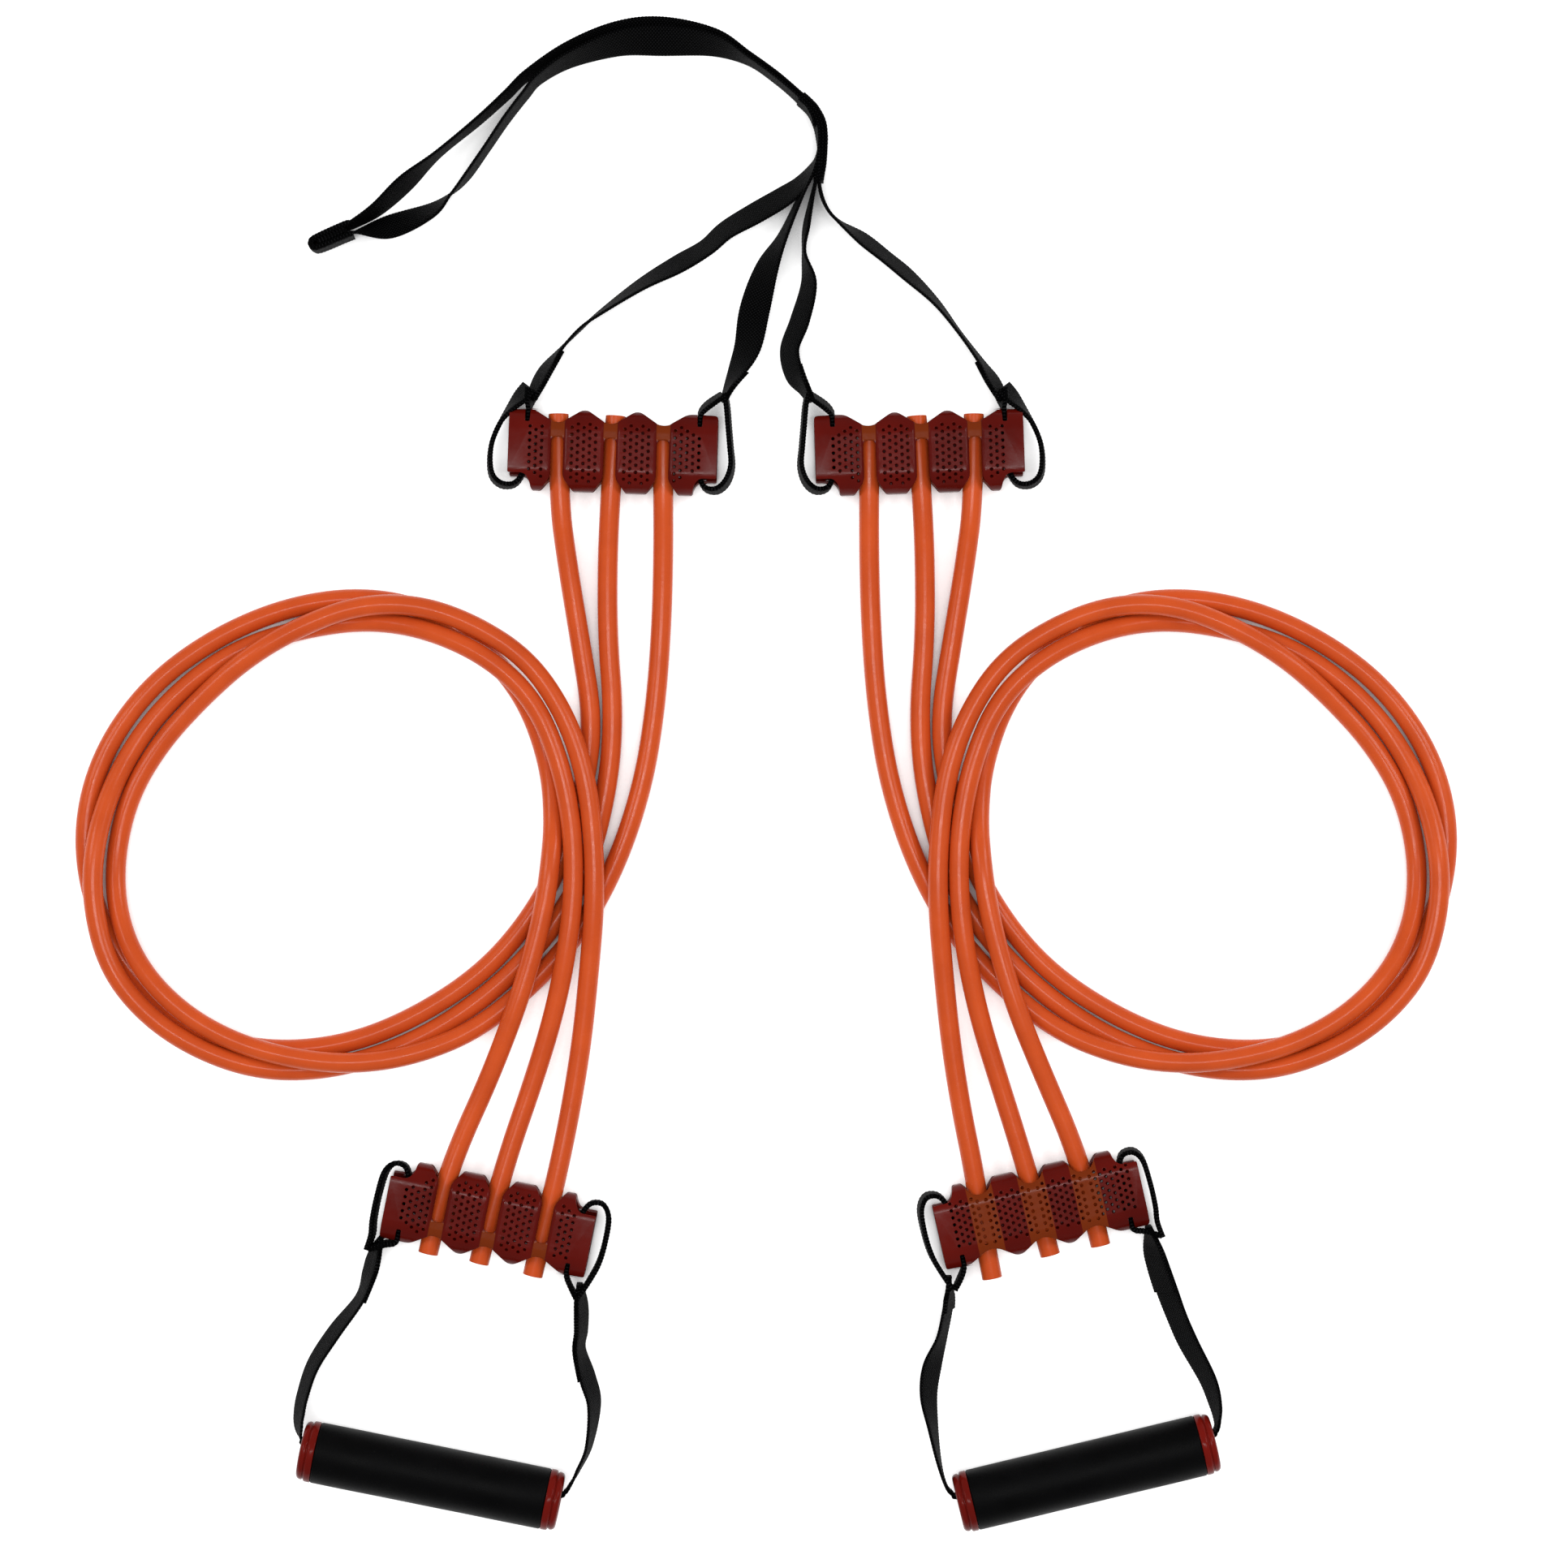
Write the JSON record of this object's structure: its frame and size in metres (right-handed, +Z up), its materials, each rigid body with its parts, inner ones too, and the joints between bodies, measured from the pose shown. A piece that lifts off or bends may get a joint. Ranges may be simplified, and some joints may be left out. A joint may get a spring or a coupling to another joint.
{
  "type": "resistance tube trainer",
  "caption": "Door-anchored resistance trainer laid flat: coiled rubber tubes held in perforated moulded pockets, webbing door strap above, webbing stirrups with foam hand grips below.",
  "frame": {"origin": "floor under the middle of the straps, pockets and grips, the tubes left out", "axes": "+Z up from the floor, +Y towards the door strap, +X to the right"},
  "size_m": [0.716, 0.7825, 0.0317],
  "materials": {
    "pocket_plastic": "glossy moulded dark red plastic, rolled slot edges, rows of small round holes",
    "cap_plastic": "glossy moulded dark red plastic",
    "tube_rubber": "satin orange latex, slightly cloudy, soft highlights",
    "plug_plastic": "matt orange-brown plug, flush with the tube end",
    "webbing": "black woven polypropylene webbing with a fine cross rib",
    "grip_foam": "matt black closed-cell foam with a soft sheen",
    "core_plastic": "plain dark moulded tube, hidden under the foam"
  },
  "bodies": {
    "pockets_and_tubes": {"lower_left_pocket": "pocket_plastic", "lower_right_pocket": "pocket_plastic", "upper_left_pocket": "pocket_plastic", "upper_right_pocket": "pocket_plastic", "left_tube_inner": "tube_rubber", "left_tube_middle": "tube_rubber", "left_tube_outer": "tube_rubber", "right_tube_inner": "tube_rubber", "right_tube_middle": "tube_rubber", "right_tube_outer": "tube_rubber", "lower_left_tube_plugs": "plug_plastic", "lower_right_tube_plugs": "plug_plastic", "upper_left_tube_plugs": "plug_plastic", "upper_right_tube_plugs": "plug_plastic", "lower_left_inner_loop": "webbing", "lower_left_outer_loop": "webbing", "lower_right_inner_loop": "webbing", "lower_right_outer_loop": "webbing", "upper_left_inner_loop": "webbing", "upper_left_outer_loop": "webbing", "upper_right_inner_loop": "webbing", "upper_right_outer_loop": "webbing"},
    "door_anchor_strap": {"strap_stopper": "webbing", "door_strap_upper_ply": "webbing", "door_strap_lower_ply": "webbing", "strap_hitch": "webbing", "leg_far_left": "webbing", "leg_far_right": "webbing", "leg_near_left": "webbing", "leg_near_right": "webbing"},
    "left_stirrup": {"left_stirrup_strap": "webbing"},
    "right_stirrup": {"right_stirrup_strap": "webbing"},
    "left_grip": {"left_grip_cap_inner": "cap_plastic", "left_grip_cap_outer": "cap_plastic", "left_grip_core": "core_plastic", "left_grip_foam": "grip_foam"},
    "right_grip": {"right_grip_cap_inner": "cap_plastic", "right_grip_cap_outer": "cap_plastic", "right_grip_core": "core_plastic", "right_grip_foam": "grip_foam"}
  },
  "joints": [
    {"name": "door_strap_swing", "type": "hinge", "parent": "pockets_and_tubes", "child": "door_anchor_strap", "pos_m": [0.0042, 0.199, 0.012], "axis": [1, 0, 0], "range_deg": [0, 110]},
    {"name": "left_stirrup_swing", "type": "hinge", "parent": "pockets_and_tubes", "child": "left_stirrup", "pos_m": [-0.14445, -0.25475, 0.012], "axis": [-0.9847, 0.1744, 0], "range_deg": [0, 90]},
    {"name": "right_stirrup_swing", "type": "hinge", "parent": "pockets_and_tubes", "child": "right_stirrup", "pos_m": [0.15, -0.2501, 0.012], "axis": [-0.9693, -0.246, 0], "range_deg": [0, 90]},
    {"name": "left_grip_spin", "type": "hinge", "parent": "left_stirrup", "child": "left_grip", "pos_m": [-0.1688, -0.3606, 0.01585], "axis": [0.9803, -0.1977, 0], "continuous": true},
    {"name": "right_grip_spin", "type": "hinge", "parent": "right_stirrup", "child": "right_grip", "pos_m": [0.1693, -0.3591, 0.01585], "axis": [0.9724, 0.2334, 0], "continuous": true}
  ]
}
